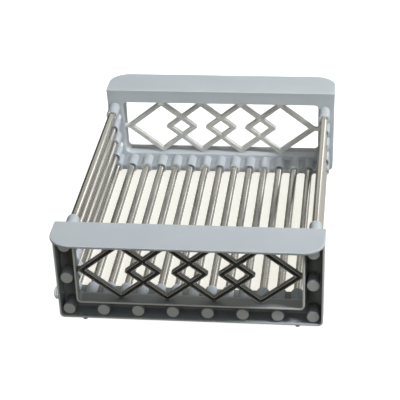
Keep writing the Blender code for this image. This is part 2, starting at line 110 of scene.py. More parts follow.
@dataclass(frozen=True)
class Shell:
    """Points and faces of a surface before it becomes a mesh.

    Each point's shade is painted light: it runs from 1, painted shade deep in the hollow side, past 0 on
    plain surfaces, to -1, a painted highlight such as on a round edge.
    """

    points: Array
    quads: Index
    shade: Array
    caps: tuple[Index, ...] = ()

    def copied(self, offsets: Array) -> Shell:
        """The shell repeated at each offset, as one shell.

        Args:
            offsets: One (x, y, z) row for each copy.

        Returns:
            The copies, whose points are the shell's points plus each offset.
        """
        starts = np.arange(len(offsets)) * len(self.points)
        points = (offsets[:, None] + self.points[None]).reshape(-1, 3)
        quads = (starts[:, None, None] + self.quads[None]).reshape(-1, 4)
        caps = tuple(cap + start for start in starts for cap in self.caps)
        return Shell(points, quads, np.tile(self.shade, len(offsets)), caps)


@dataclass(frozen=True)
class Outline:
    """A flat line of points, with the normals that point away from its inner side."""

    points: Array
    normals: Array

    def offset(self, distances: Array) -> Array:
        """The line in a column for each distance: each point plus its normal times the distance."""
        return self.points[:, None] + self.normals[:, None] * distances[None, :, None]


def unit(vectors: Array) -> Array:
    """Vectors scaled to length one along their last axis."""
    return vectors / np.linalg.norm(vectors, axis=-1, keepdims=True)


def lifted(flat: Array, y: Array) -> Array:
    """Rows and columns of (x, z), with a y that fits them, as (x, y, z)."""
    return np.stack([flat[..., 0], np.broadcast_to(y, flat.shape[:2]), flat[..., 1]], -1)


def way(y: Array, start: float, end: float) -> Array:
    """Share of the way from a start to an end, along Y."""
    return (y - start) / (end - start)


def painted_lip_highlight(shade: Array, y: Array, lip: float, edge: float, highlight_share: float) -> Array:
    """Shades less a painted highlight at the lip, which fades out evenly across the lip's edge."""
    return shade - highlight_share * np.clip(1 - (y - lip) / edge, 0, 1)


def joined(shells: Sequence[Shell]) -> Shell:
    """Several shells as one.

    Args:
        shells: The shells, in order.

    Returns:
        One shell that holds all their points and faces.
    """
    starts = np.cumsum([0, *(len(shell.points) for shell in shells[:-1])])
    points = np.concatenate([shell.points for shell in shells])
    quads = np.concatenate([shell.quads + start for shell, start in zip(shells, starts)])
    shade = np.concatenate([shell.shade for shell in shells])
    caps = tuple(cap + start for shell, start in zip(shells, starts) for cap in shell.caps)
    return Shell(points, quads, shade, caps)


def grid(points: Array, capped: bool = False, shade: float | Array = 0.0) -> Shell:
    """Joins a grid of points with quads, each to its neighbour in the next row and in the next column.

    The last column joins the first, so every row is a closed loop.

    Args:
        points: Array of rows, columns and three coordinates.
        capped: Whether the first and the last row are closed by a flat face each.
        shade: Shade of the whole grid, or an array that fits its rows and columns.

    Returns:
        The surface.
    """
    rows, columns = points.shape[:2]
    column = np.arange(columns)[None]
    next_column = (column + 1) % columns
    here = np.arange(rows - 1)[:, None] * columns
    next_row = here + columns
    corners = (here + column, here + next_column, next_row + next_column, next_row + column)
    quads = np.stack(np.broadcast_arrays(*corners), axis=-1).reshape(-1, 4)
    ends = (np.arange(columns), np.arange(columns) + (rows - 1) * columns) if capped else ()
    shades = np.broadcast_to(shade, (rows, columns)).reshape(-1)
    return Shell(points.reshape(-1, 3), quads, shades, ends)


def round_corners(before: Array, corner: Array, after: Array, radius: Array, steps: int) -> Outline:
    """Turns each corner into an arc that touches both its sides, with a guard point just outside each end.

    The arc's centre lies on the corner's bisector, at the radius over the sine of the half angle. Its points
    are the centre plus the radius times a spoke, and the spoke turns evenly from one side's normal to the
    other's. The guard points keep the shading of a round edge off the flat beside it.

    Args:
        before: Point before each corner.
        corner: The corners.
        after: Point after each corner.
        radius: Radius at each corner.
        steps: Spans in each arc.

    Returns:
        Points and normals in the order of the corners.
    """
    back = unit(before - corner)
    ahead = unit(after - corner)
    half = np.arccos(np.clip((back * ahead).sum(-1), -1, 1))[:, None] / 2
    middle = unit(back + ahead)
    centre = corner + middle * radius[:, None] / np.sin(half)
    first = back / np.tan(half) - middle / np.sin(half)
    last = ahead / np.tan(half) - middle / np.sin(half)
    sweep = np.pi - 2 * half
    share = np.linspace(0, 1, steps + 1)[None]
    from_first = (np.sin((1 - share) * sweep) / np.sin(sweep))[..., None]
    from_last = (np.sin(share * sweep) / np.sin(sweep))[..., None]
    spokes = from_first * first[:, None] + from_last * last[:, None]
    arcs = centre[:, None] + radius[:, None, None] * spokes
    turn = np.sign(back[:, 1] * ahead[:, 0] - back[:, 0] * ahead[:, 1])
    normals = spokes * turn[:, None, None]
    first_guard, last_guard = arcs[:, :1] + back[:, None] * GUARD, arcs[:, -1:] + ahead[:, None] * GUARD
    points = np.concatenate([first_guard, arcs, last_guard], 1)
    normals = np.concatenate([normals[:, :1], normals, normals[:, -1:]], 1)
    return Outline(points.reshape(-1, 2), normals.reshape(-1, 2))


def rounded(corners: Corners, radius: Sequence[float] | float, steps: int, closed: bool = False) -> Outline:
    """A line with round corners: all of them on a closed line, and those between its ends on an open one.

    Args:
        corners: Sharp corners, with both ends of an open line.
        radius: One radius for all the round corners, or one for each.
        steps: Spans in each arc.
        closed: Whether the last corner joins the first.

    Returns:
        The line, whose normals point to its right-hand side, so out of a closed one that runs
        counter-clockwise.
    """
    sharp = np.array(corners, float)
    if closed:
        sharp = np.concatenate([sharp[-1:], sharp, sharp[:1]])
    radii = np.broadcast_to(np.array(radius, float), len(sharp) - 2)
    line = round_corners(sharp[:-2], sharp[1:-1], sharp[2:], radii, steps)
    if closed:
        return line
    points = np.concatenate([sharp[:1], line.points, sharp[-1:]])
    normals = np.concatenate([line.normals[:1], line.normals, line.normals[-1:]])
    return Outline(points, normals)


def turned(profile: Outline, sides: int, shade: float | Array = 0.0) -> Shell:
    """A solid turned about Y.

    The point at angle a is (radius times cosine of a, height, radius times sine of a).

    Args:
        profile: Radius and height of each point, from one end on the axis or from one rim to the other.
        sides: Number of points round the axis.
        shade: Shade of the whole profile, or of each of its points.

    Returns:
        The surface, whose rows go round the axis.
    """
    angle = np.linspace(0, 2 * np.pi, sides, endpoint=False)[None]
    radius, height = profile.points[:, :1], profile.points[:, 1:]
    flat = np.stack([radius * np.cos(angle), radius * np.sin(angle)], -1)
    return grid(lifted(flat, height), shade=np.reshape(shade, (-1, 1)))


def round_box(low: Sequence[float], high: Sequence[float], radius: float, shade: float = 0.0) -> Shell:
    """A box whose edges and corners are round.

    A ball of the edge's radius is cut in eight, and each eighth is moved to its corner of the box: a point is
    the box's middle, plus the ball's point, plus the sign of its eighth times the half size less the radius.

    Args:
        low: Lowest corner.
        high: Highest corner.
        radius: Radius of the edges.
        shade: Shade of the whole box.

    Returns:
        The closed surface.
    """
    middle = (np.array(high) + np.array(low)) / 2
    reach = (np.array(high) - np.array(low)) / 2 - radius
    quarter = np.linspace(0, np.pi / 2, BALL_STEPS + 1)
    around = np.concatenate([quarter + turn * np.pi / 2 for turn in range(4)])[None]
    lift = np.concatenate([quarter - np.pi / 2, quarter])[:, None]
    sign_x = np.repeat([1, -1, -1, 1], BALL_STEPS + 1)[None]
    sign_y = np.repeat([1, 1, -1, -1], BALL_STEPS + 1)[None]
    sign_z = np.repeat([-1, 1], BALL_STEPS + 1)[:, None]
    x = middle[0] + sign_x * reach[0] + radius * np.cos(lift) * np.cos(around)
    y = middle[1] + sign_y * reach[1] + radius * np.cos(lift) * np.sin(around)
    z = middle[2] + sign_z * reach[2] + radius * np.sin(lift) + 0 * around
    return grid(np.stack([x, y, z], -1), capped=True, shade=shade)


def linked(name: str, data: bpy.types.ID) -> bpy.types.Object:
    """Makes an object of its data, and links it to the scene.

    Args:
        name: Name of the object.
        data: Its mesh, lamp or camera.

    Returns:
        The object.
    """
    made = bpy.data.objects.new(name, data)
    bpy.context.scene.collection.objects.link(made)
    return made


def make_piece(name: str, shell: Shell, material: bpy.types.Material, node: str) -> None:
    """Makes an object of a shell, and hangs it on the body of the solid that it stands for.

    Args:
        name: Name of the piece.
        shell: Its surface, in the frame's axes.
        material: Its material.
        node: The solid.
    """
    mesh = bpy.data.meshes.new(name)
    mesh.from_pydata(shell.points.tolist(), [], shell.quads.tolist() + [cap.tolist() for cap in shell.caps])
    mesh.attributes.new(SHADE, "FLOAT", "POINT").data.foreach_set("value", shell.shade)
    shape = bmesh.new()
    shape.from_mesh(mesh)
    bmesh.ops.remove_doubles(shape, verts=shape.verts, dist=MERGE)
    bmesh.ops.dissolve_degenerate(shape, edges=shape.edges, dist=MERGE)
    bmesh.ops.recalc_face_normals(shape, faces=shape.faces)
    shape.to_mesh(mesh)
    shape.free()
    mesh.shade_smooth()
    mesh.set_sharp_from_angle(angle=math.radians(SHARP_ANGLE))
    mesh.materials.append(material)
    piece = linked(name, mesh)
    body = frame["nodes"][node]["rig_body"]
    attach(piece, body)
    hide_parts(node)
    log.info("%s: %d faces on %s", name, len(mesh.polygons), body)


class Term:
    """A number in a shader, so that sums on it are written as plain expressions."""

    def __init__(self, sheet: Sheet, socket: bpy.types.NodeSocket) -> None:
        """Wraps an output socket of a sheet of nodes."""
        self.sheet = sheet
        self.socket = socket

    def _with(self, operation: str, first: Term | float, second: Term | float) -> Term:
        """A Math node of two terms."""
        return self.sheet.node("ShaderNodeMath", {"operation": operation}, {0: first, 1: second})

    def __add__(self, other: Term | float) -> Term:
        """The sum of two terms."""
        return self._with("ADD", self, other)

    def __sub__(self, other: Term | float) -> Term:
        """This term less another."""
        return self._with("SUBTRACT", self, other)

    def __rsub__(self, other: float) -> Term:
        """A number less this term."""
        return self._with("SUBTRACT", other, self)

    def __mul__(self, other: Term | float) -> Term:
        """The product of two terms."""
        return self._with("MULTIPLY", self, other)

    __radd__ = __add__
    __rmul__ = __mul__

    def size(self) -> Term:
        """The term without its sign."""
        return self._with("ABSOLUTE", self, 0.0)

    def clamped(self) -> Term:
        """The term kept from 0 to 1."""
        return self.sheet.node("ShaderNodeClamp", {}, {"Value": self})

    def axes(self) -> tuple[Term, ...]:
        """The three numbers of a vector."""
        split = self.sheet.node("ShaderNodeSeparateXYZ", {}, {0: self}).socket.node
        return tuple(Term(self.sheet, output) for output in split.outputs)


def mixed(weights: Weights, *terms: Term) -> Term:
    """Mixes terms in a shader.

    Args:
        weights: A weight for each term, and a last number that is added.
        terms: The terms.

    Returns:
        The sum of each term times its weight and of the last number, kept from 0 to 1.
    """
    total = terms[0] * weights[0]
    for term, weight in zip(terms[1:], weights[1:]):
        total = total + term * weight
    return (total + weights[-1]).clamped()


class Sheet:
    """The node tree of a material or of the world, whose shader is there to be fed."""

    def __init__(self, owner: bpy.types.Material | bpy.types.World, shader: str = "Principled BSDF") -> None:
        """Takes the tree of a new material or world, and the shader in it of the given name."""
        owner.use_nodes = True
        self.owner = owner
        self.tree = owner.node_tree
        self.shader = self.tree.nodes[shader]

    def node(
        self,
        kind: str,
        settings: Mapping[str, object],
        sockets: Mapping[str | int, object],
        output: str | int = 0,
    ) -> Term:
        """Adds a node.

        Args:
            kind: Type of the node.
            settings: Its own settings, set first.
            sockets: Values or terms of its inputs, by name or number.
            output: The output that is handed back.

        Returns:
            The output as a term.
        """
        made = self.tree.nodes.new(kind)
        for name, value in settings.items():
            setattr(made, name, value)
        for name, value in sockets.items():
            self.feed(made.inputs[name], value)
        return Term(self, made.outputs[output])

    def feed(self, socket: bpy.types.NodeSocket, value: object) -> None:
        """Links a term to an input, or sets the input's value.

        Args:
            socket: The input.
            value: A term, or a plain value.
        """
        if isinstance(value, Term):
            self.tree.links.new(value.socket, socket)
        else:
            socket.default_value = value

    def dress(self, **sockets: object) -> None:
        """Feeds the shader's inputs, whose names have an underscore for each space."""
        for name, value in sockets.items():
            self.feed(self.shader.inputs[name.replace("_", " ")], value)

    def bump(self, height: Term, distance: float) -> None:
        """Feeds a height to the shader's normal."""
        self.dress(Normal=self.node("ShaderNodeBump", {}, {"Height": height, "Distance": distance}))

    def place(self, stretch: Triple = (1.0, 1.0, 1.0)) -> Term:
        """The object's own coordinates, with each axis scaled."""
        here = self.node("ShaderNodeTexCoord", {}, {}, "Object")
        return self.node("ShaderNodeMapping", {}, {"Vector": here, "Scale": stretch})

    def noise(self, place: Term, scale: float, detail: float = 2.0) -> Term:
        """Soft noise from about 0.2 to 0.8, whose grains are one over the scale wide."""
        return self.node("ShaderNodeTexNoise", {}, {"Vector": place, "Scale": scale, "Detail": detail})

    def blend(self, share: Term, first: Triple | Term, second: Triple | Term) -> Term:
        """A colour between two others, by a share."""
        ends = [colour if isinstance(colour, Term) else (*colour, 1.0) for colour in (first, second)]
        return self.node("ShaderNodeMix", {"data_type": "RGBA"}, {0: share, 6: ends[0], 7: ends[1]}, 2)

    def shade(self) -> Term:
        """The painted shade or highlight that each point of the piece carries."""
        return self.node("ShaderNodeAttribute", {"attribute_name": SHADE}, {}, "Fac")


@dataclass(frozen=True)
class Finish:
    """A finish of the rack: a name, two colours that take turns over the surface, and a roughness.

    Its weights say how much each noise moves a share or the roughness.
    """

    name: str
    main: Triple
    other: Triple
    roughness: float
    detail: float = 3.0

    def rough(self, weights: Weights, *noises: Term) -> Term:
        """The roughness, moved up and down by each noise times its weight."""
        return mixed((*weights, self.roughness - sum(weights) / 2), *noises)

    def material(self) -> bpy.types.Material:
        """Makes the material.

        Returns:
            The material, dressed in the finish's own way.
        """
        sheet = Sheet(bpy.data.materials.new(self.name))
        self.paint(sheet)
        return sheet.owner

    def paint(self, sheet: Sheet) -> None:
        """Feeds the sheet's shader. Each kind of finish does so in its own way."""
        raise NotImplementedError


@dataclass(frozen=True)
class MouldedPlastic(Finish):
    """Satin moulded plastic: cloudy colour, a fine spark-eroded grain and faint flow marks along X.

    Each point's shade paints it: painted shade on the hollow side, duller and browner with depth, and painted
    highlights pale on its edges.
    """

    # Colour that the painted shade darkens towards, deep in the hollow side.
    hollow: Triple = (0.100, 0.098, 0.086)
    # Pale colour of the painted highlights.
    painted_highlight: Triple = (0.82, 0.83, 0.80)
    grain_scale: float = 1500.0
    cloud_scale: float = 22.0
    flow_scale: float = 160.0
    flow_run: float = 0.12
    grain_height: float = 0.000012
    flow_relief: float = 0.5
    cloud_relief: float = 2.0
    mottle: Weights = (1.1, 0.3, 0.25, -0.33)
    painted_highlight_mix: Weights = (-1.1, -0.15, 0.0)
    # How far, and how unevenly, the painted shade darkens.
    hollow_reach: float = 1.15
    hollow_mottle: float = 0.3
    mattness: Weights = (0.16, 0.10)

    def paint(self, sheet: Sheet) -> None:
        """Blends both colours by cloud, flow and grain, then pales the painted highlights and darkens the
        painted shade.

        Args:
            sheet: The material's nodes.
        """
        place = sheet.place()
        grain = sheet.noise(place, self.grain_scale)
        cloud = sheet.noise(place, self.cloud_scale, self.detail)
        flow = sheet.noise(sheet.place((self.flow_run, 1.0, 1.0)), self.flow_scale, self.detail)
        share = mixed(self.mottle, cloud, flow, grain)
        sheet.bump(grain + flow * self.flow_relief + cloud * self.cloud_relief, self.grain_height)
        shade = sheet.shade()
        moulded = sheet.blend(share, self.other, self.main)
        # Painted highlights pale the colour where the shade is below 0, with a little grain.
        plain = sheet.blend(mixed(self.painted_highlight_mix, shade, grain), moulded, self.painted_highlight)
        # Painted shade darkens it where the shade is above 0.
        hollow = (shade * (self.hollow_reach - share * self.hollow_mottle)).clamped()
        sheet.dress(
            Base_Color=sheet.blend(hollow, plain, self.hollow),
            Roughness=self.rough(self.mattness, grain, flow),
        )


@dataclass(frozen=True)
class DrawnSteel(Finish):
    """Polished stainless steel, with fine draw lines along the rods and a faint warm tint in patches."""

    line_scale: float = 1100.0
    band_scale: float = 420.0
    smear_scale: float = 140.0
    line_run: float = 0.010
    smear_run: float = 0.25
    line_height: float = 0.0000015
    band_relief: float = 2.0
    tint: Weights = (0.9, 0.5, 0.4, -0.45)
    mattness: Weights = (0.08, 0.12)

    def paint(self, sheet: Sheet) -> None:
        """Blends both colours by lines, bands and smears that are long along Y.

        Args:
            sheet: The material's nodes.
        """
        along = sheet.place((1.0, self.line_run, 1.0))
        lines = sheet.noise(along, self.line_scale, self.detail)
        bands = sheet.noise(along, self.band_scale)
        smears = sheet.noise(sheet.place((1.0, self.smear_run, 1.0)), self.smear_scale, self.detail)
        sheet.bump(lines + bands * self.band_relief, self.line_height)
        sheet.dress(
            Base_Color=sheet.blend(mixed(self.tint, bands, lines, smears), self.other, self.main),
            Metallic=1.0,
            Roughness=self.rough(self.mattness, lines, smears),
        )


@dataclass(frozen=True)
class SoftRubber(Finish):
    """Matt rubber with a dusty, slightly pitted skin."""

    dust_scale: float = 700.0
    detail: float = 4.0
    pit_scale: float = 3200.0
    pit_depth: float = 0.00002
    dust: Weights = (1.6, -0.3)
    mattness: Weights = (0.2,)

    def paint(self, sheet: Sheet) -> None:
        """Blends the clean colour with the dusty one, and pits the skin.

        Args:
            sheet: The material's nodes.
        """
        place = sheet.place()
        dust = sheet.noise(place, self.dust_scale, self.detail)
        sheet.bump(sheet.noise(place, self.pit_scale) + dust, self.pit_depth)
        sheet.dress(
            Base_Color=sheet.blend(mixed(self.dust, dust), self.main, self.other),
            Roughness=self.rough(self.mattness, dust),
        )


@dataclass(frozen=True)
class ClearSoftPlastic(Finish):
    """Clear soft plastic with a glossy skin and a few cloudy streaks."""

    cloud_scale: float = 420.0
    skin_scale: float = 1800.0
    skin_depth: float = 0.00001
    transmission: float = 0.92
    refraction: float = 1.45
    streaks: Weights = (1.5, -0.25)
    mattness: Weights = (0.12,)

    def paint(self, sheet: Sheet) -> None:
        """Blends the clear colour with the cloudy one, and lets light through.

        Args:
            sheet: The material's nodes.
        """
        place = sheet.place()
        cloud = sheet.noise(place, self.cloud_scale, self.detail)
        skin = sheet.noise(place, self.skin_scale)
        sheet.bump(skin, self.skin_depth)
        sheet.dress(
            Base_Color=sheet.blend(mixed(self.streaks, cloud), self.main, self.other),
            Roughness=self.rough(self.mattness, skin),
            Transmission_Weight=self.transmission,
            IOR=self.refraction,
        )


class Side(Enum):
    """The two ends of the rack. Each value is the first word of the names of that end's pieces."""

    NEAR = "near"
    FAR = "far"

    def placed(self, shell: Shell) -> Shell:
        """A shell drawn in the end's own axes, set in its place in the rack.

        Args:
            shell: Shell whose Y starts at the outer edge of the top plate.

        Returns:
            The shell in the frame's axes, at the near end, or turned half a turn and at the far one.
        """
        turn, edge = (1.0, CAD_LOW.y) if self is Side.NEAR else (-1.0, CAD_HIGH.y)
        points = shell.points * np.array([turn, turn, 1.0]) + np.array([MIDDLE_X, edge, 0.0])
        return replace(shell, points=points)


@dataclass(frozen=True)
class EndLook:
    """Painted shade and highlights that set one end apart, and how far its window's wall leans into the
    window at the lip.
    """

    # Painted shade on the lattice's side faces and tabs; below 0 it is a painted highlight.
    lattice_shade: float
    # Painted shade on the sockets' ridges.
    ridge_shade: float
    # How far in the sill's painted shadow reaches, and the share of it on the window's sides.
    sill_shaded_to: float
    side_share: float
    window_lean: float


@dataclass(frozen=True)
class Tray:
    """Where the rods lie."""

    floor_count: int = 15
    side_count: int = 4
    floor_pitch: float = 0.0160
    side_pitch: float = 0.0168
    floor_rod_height: float = 0.0114

    @property
    def half_width(self) -> float:
        """Distance from the rack's middle to the rods at its sides."""
        return self.floor_pitch * (self.floor_count - 1) / 2

    @property
    def top_rod_height(self) -> float:
        """Height of the axis of the top rods."""
        return self.floor_rod_height + self.side_pitch * self.side_count

    def floor_places(self, odd: bool) -> Array:
        """Places of every other rod of the floor.

        Args:
            odd: Whether they are the rods whose number, from 0 at -X, is odd.

        Returns:
            Rows of (x, 0, z).
        """
        x = -self.half_width + self.floor_pitch * np.arange(1 if odd else 0, self.floor_count, 2)
        return np.stack([x, 0 * x, 0 * x + self.floor_rod_height], -1)

    def side_places(self, odd: bool) -> Array:
        """Places of every other rod of both sides.

        Args:
            odd: Whether they are the rods whose number above the floor is odd.

        Returns:
            Rows of (x, 0, z).
        """
        index = np.arange(1 if odd else 2, self.side_count + 1, 2)
        z = np.tile(self.floor_rod_height + self.side_pitch * index, 2)
        x = np.repeat([-self.half_width, self.half_width], len(index))
        return np.stack([x, 0 * x, z], -1)


@dataclass(frozen=True)
class TopPlate:
    """The plate that hooks over the rim of the sink."""

    half_width: float = 0.1225
    depth: float = 0.0422
    thickness: float = 0.0024
    top: float = 0.0943
    outer_radius: float = 0.0210
    inner_radius: float = 0.0012
    top_edge: float = 0.0007
    lower_edge: float = 0.0003
    edge_highlight: float = 0.35
    corner_steps: int = 20
    edge_steps: int = 4

    @property
    def underside(self) -> float:
        """Height of the plate's underside."""
        return self.top - self.thickness

    def shell(self) -> Shell:
        """The plate, with large round corners outside, small ones inside, and round edges.

        Each point of the edge's section is an inset and a height: the outline is drawn in by the inset at
        that height.

        Returns:
            The closed surface, in the end's own axes.
        """
        wide = self.half_width
        corners = [(-wide, 0.0), (wide, 0.0), (wide, self.depth), (-wide, self.depth)]
        radii = [self.outer_radius, self.outer_radius, self.inner_radius, self.inner_radius]
        outline = rounded(corners, radii, self.corner_steps, closed=True)
        flat = self.top_edge + GUARD
        section = [(flat, self.underside), (0.0, self.underside), (0.0, self.top), (flat, self.top)]
        inset, height = rounded(section, [self.lower_edge, self.top_edge], self.edge_steps).points.T
        loops = outline.offset(-inset).swapaxes(0, 1)
        z = np.broadcast_to(height[:, None], loops.shape[:2])
        # Painted highlight along the plate's round top edge.
        round_part = (height > self.top - self.top_edge) & (inset < self.top_edge + MERGE)
        shade = np.where(round_part, -self.edge_highlight, 0.0)[:, None]
        return grid(np.concatenate([loops, z[..., None]], -1), capped=True, shade=shade)


@dataclass(frozen=True)
class BoxSection:
    """The hollow box section round the window: outer wall, inner face and the wall round the window."""

    tray: Tray
    plate: TopPlate
    look: EndLook
    lip: float = 0.0224
    face: float = 0.0418
    wall: float = 0.0018
    face_wall: float = 0.0020
    face_middle: float = 0.0054
    margin_top: float = 0.0100
    margin_foot: float = 0.0090
    below_rod: float = 0.0088
    corner_radius: float = 0.0042
    window_side_inset: float = 0.0070
    window_above_floor_rod: float = 0.0072
    window_above_top_rod: float = 0.0013
    window_foot_radius: float = 0.0050
    window_top_radius: float = 0.0038
    face_edge: float = 0.0010
    lip_edge: float = 0.0005
    window_edge: float = 0.0005
    root_fillet: float = 0.0008
    # Painted light: the sill's painted shadow and how far it fades, the share of the hollow's painted shade
    # kept on the outer wall at the foot, and the painted highlight on the lip.
    sill_shade: float = 0.47
    sill_fade: float = 0.0020
    foot_share: float = 0.15
    lip_highlight: float = 1.0
    corner_steps: int = 10
    edge_steps: int = 4

    @property
    def channel_floor(self) -> float:
        """How far in the hollow's floor lies."""
        return self.face - self.face_wall

    @property
    def root(self) -> float:
        """How far in the middle of the inner face's thickness lies."""
        return self.face - self.face_wall / 2

    @property
    def window_half_width(self) -> float:
        """Half the width of the window."""
        return self.tray.half_width - self.window_side_inset

    @property
    def window_foot(self) -> float:
        """Height of the window's sill."""
        return self.tray.floor_rod_height + self.window_above_floor_rod

    @property
    def window_top(self) -> float:
        """Height of the window's upper edge."""
        return self.tray.top_rod_height + self.window_above_top_rod

    @property
    def buried_top(self) -> float:
        """Height at which the walls end, in the thickness of the plate."""
        return self.plate.underside + self.plate.thickness / 2

    def rails(self) -> tuple[Outline, Outline]:
        """The lines that the section is carried along, down one side, along the foot and up the other side.

        Returns:
            The outer outline and the window's outline, in X and Z.
        """
        top, half = self.buried_top, self.window_half_width
        foot = self.tray.floor_rod_height - self.below_rod
        half_foot = self.tray.half_width + self.margin_foot
        half_top = self.tray.half_width + self.margin_top
        outer = [(-half_top, top), (-half_foot, foot), (half_foot, foot), (half_top, top)]
        window = [(-half, top), (-half, self.window_foot), (half, self.window_foot), (half, top)]
        return (
            rounded(outer, self.corner_radius, self.corner_steps),
            rounded(window, self.window_foot_radius, self.corner_steps),
        )

    def sections(self) -> tuple[Array, Array]:
        """The section's points under each rail.

        Returns:
            Rows of depth from the rail into the material and place along Y, from the middle of the inner face
            round the lip to the hollow's floor under the outer rail, and back to the face under the window's.
        """
        wall, middle, floor = self.wall, self.face_middle, self.channel_floor
        # The window's section is split where the sill's painted shadow ends and fades out.
        shaded_to = self.look.sill_shaded_to
        skin = [(middle, self.face), (0.0, self.face), (0.0, self.lip), (wall, self.lip), (wall, floor)]
        skin_radii = [self.face_edge, self.lip_edge, self.lip_edge, self.root_fillet]
        trough = [(middle, floor), (wall, floor), (wall, self.lip), (0.0, self.lip), (0.0, shaded_to)]
        trough_radii = [self.root_fillet, self.lip_edge, self.lip_edge]
        brink = [(0.0, shaded_to + self.sill_fade), (0.0, self.face), (middle, self.face)]
        outer = rounded([*skin, (middle, floor)], skin_radii, self.edge_steps).points[1:-1]
        inner = rounded(trough, trough_radii, self.edge_steps).points[1:]
        last = rounded(brink, self.window_edge, self.edge_steps).points[:-1]
        return outer, np.concatenate([inner, last])

    def shell(self) -> Shell:
        """The section carried along both rails.

        A point is its rail's point plus the rail's normal times the depth, with its own place along Y.
        Towards the lip the depth under the window's rail shrinks evenly, so that the wall round the window
        The painted shade deepens from the lip to the hollow's floor, the sill's outer part takes a painted
        shadow, and the lip's edge a painted highlight.

        Returns:
            The closed surface, in the end's own axes.
        """
        outer, window = self.rails()
        outer_section, window_section = self.sections()
        to_lip = np.clip(way(window_section[:, 1], self.face, self.lip), 0, 1)
        under_window = window_section[:, 0] - self.look.window_lean * to_lip
        flat = np.concatenate([outer.offset(-outer_section[:, 0]), window.offset(under_window)], 1)
        depth, y = np.concatenate([outer_section, window_section]).T
        on_window = np.arange(len(y)) >= len(outer_section)
        inside = (depth > self.wall * INSIDE_SHARE) & (y < self.channel_floor + MERGE)
        # The window's skin, from the lip in, takes a painted shadow on the sill and the sides.
        reveal = on_window & (depth < MERGE) & (y < self.look.sill_shaded_to + MERGE)
        deepened = way(y, self.lip, self.channel_floor)
        shade = np.where(inside, deepened, np.where(reveal, self.sill_shade, 0.0))
        shade = painted_lip_highlight(shade, y, self.lip, self.lip_edge, self.lip_highlight)
        # At the foot the outer wall's inside keeps only a share of the painted shade; off the foot the
        # window's sides keep their own share of the painted shadow.
        at_foot = flat[..., 1] < self.window_foot + self.look.window_lean
        foot_share = np.where(inside & ~on_window, self.foot_share, 1.0)
        side_share = np.where(reveal, self.look.side_share, 1.0)
        return grid(lifted(flat, y), capped=True, shade=shade * np.where(at_foot, foot_share, side_share))

    def fascia(self) -> Shell:
        """The panel between the window and the plate.

        Its section runs down the back, round the window's upper edge and up the front, and is carried along
        that edge from one side of the window, through both round corners, to the other side.

        Returns:
            The closed surface, in the end's own axes.
        """
        half, top, radius = self.window_half_width, self.window_top, self.window_top_radius
        rest = top - radius - GUARD
        edge = rounded([(half, rest), (half, top), (-half, top), (-half, rest)], radius, self.corner_steps)
        edge = Outline(edge.points[2:-2], edge.normals[2:-2])
        back, front, far = self.channel_floor, self.face, self.face_wall
        corners = [(far, back), (0.0, back), (0.0, front), (far, front)]
        depth, y = rounded(corners, [self.lip_edge, self.window_edge], self.edge_steps).points[1:-1].T
        flat = np.pad(edge.offset(depth), ((0, 0), (1, 1), (0, 0)), "edge")
        flat[:, [0, -1], 1] = self.buried_top
        y = np.pad(y, 1, "edge")
        # Painted shade that grows from the front face to the back face.
        return grid(lifted(flat, y), capped=True, shade=way(y, front, back))


